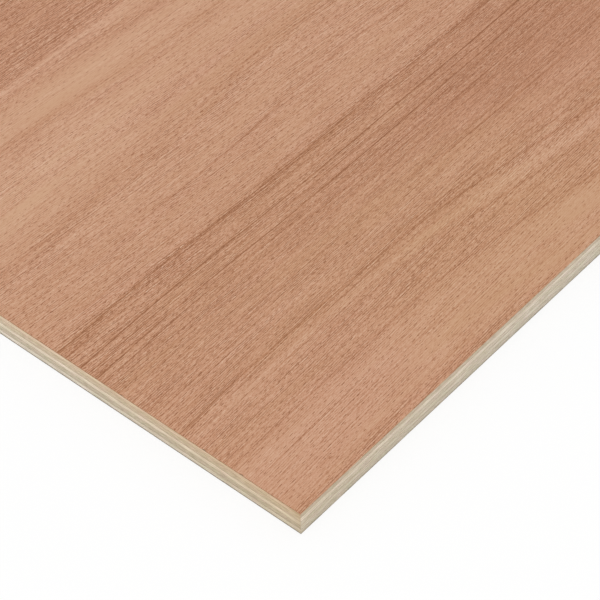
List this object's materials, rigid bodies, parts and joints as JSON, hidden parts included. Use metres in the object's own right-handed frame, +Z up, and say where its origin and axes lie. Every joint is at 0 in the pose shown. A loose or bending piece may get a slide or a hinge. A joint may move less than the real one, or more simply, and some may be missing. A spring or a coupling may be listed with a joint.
{
  "type": "plywood sheet",
  "caption": "Flat rectangular sheet of cross-laminated plywood with a reddish hardwood face on pale core plies, sawn square on all edges.",
  "frame": {"origin": "middle of the underside, on the surface the sheet lies on", "axes": "+X along the face grain and the long side, +Y across the grain, +Z up out of the good face"},
  "size_m": [1.22, 0.61, 0.012],
  "materials": {
    "face_veneer": "sanded, unfinished reddish hardwood veneer",
    "core_ply": "sawn pale poplar-like veneer",
    "back_veneer": "lightly sanded, unfinished greyish hardwood veneer of lower grade"
  },
  "bodies": {
    "root": {"face_veneer": "face_veneer", "upper_crossband": "core_ply", "upper_long_ply": "core_ply", "centre_crossband": "core_ply", "lower_long_ply": "core_ply", "lower_crossband": "core_ply", "back_veneer": "back_veneer"}
  },
  "joints": []
}
